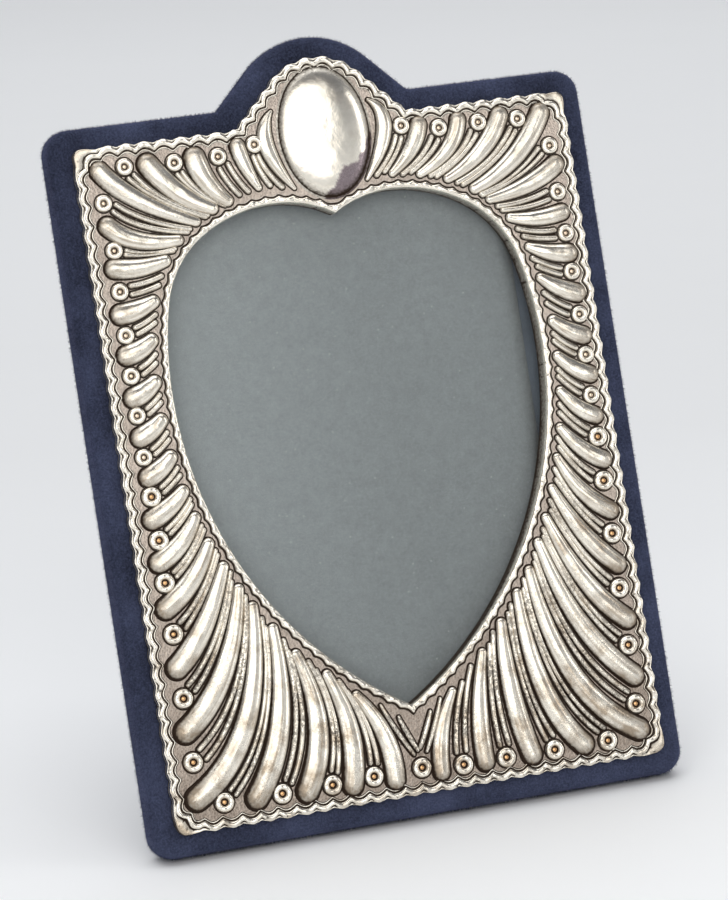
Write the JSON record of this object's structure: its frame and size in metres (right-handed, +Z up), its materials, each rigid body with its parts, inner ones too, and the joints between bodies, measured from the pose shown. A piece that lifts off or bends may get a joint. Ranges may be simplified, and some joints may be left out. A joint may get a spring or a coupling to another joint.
{
  "type": "picture frame",
  "caption": "Standing photo frame with an arched repousse silver front, a heart shaped window, a velvet body, a sliding back and a folding strut.",
  "frame": {"origin": "centre of the footprint, at the level of the table that the frame stands on", "axes": "+Z up, +X to the right of the viewer in front, +Y towards the back"},
  "size_m": [0.1544, 0.098, 0.2069],
  "materials": {
    "silver": "polished repousse silver with dark tarnish in the grooves",
    "velvet": "short pile navy velvet",
    "board": "plain thin board",
    "filler": "cast filler behind the relief",
    "glass": "clear picture glass",
    "card": "matt grey card",
    "lining": "navy lining",
    "hinge_metal": "nickel plated strip",
    "ribbon": "woven navy ribbon"
  },
  "bodies": {
    "frame": {"silver_front": "silver", "front_packing": "filler", "velvet_cover": "velvet", "front_board": "board", "spacer_left": "board", "spacer_right": "board", "spacer_top": "board", "spacer_bottom": "board", "runner_left": "board", "runner_right": "board", "runner_top": "board", "back_rim": "board", "glass_pane": "glass", "insert_card": "card"},
    "door": {"door_board": "board", "door_lining": "lining", "door_velvet": "velvet", "hinge_fixed_leaf": "hinge_metal", "hinge_door_rivets": "hinge_metal", "hinge_pin": "hinge_metal", "stay_ribbon": "ribbon", "stay_door_rivet": "hinge_metal"},
    "strut": {"strut_board": "board", "strut_velvet": "velvet", "hinge_moving_leaf": "hinge_metal", "hinge_strut_rivets": "hinge_metal", "stay_strut_rivet": "hinge_metal"}
  },
  "joints": [
    {"name": "door_slide", "type": "slide", "parent": "frame", "child": "door", "axis": [0, -0.309, -0.9511], "range_m": [0, 0.175]},
    {"name": "strut_hinge", "type": "hinge", "parent": "door", "child": "strut", "pos_m": [0, 0.01098, 0.14705], "axis": [-1, 0, 0], "range_deg": [0, 31], "deforming": ["stay_ribbon"]}
  ]
}
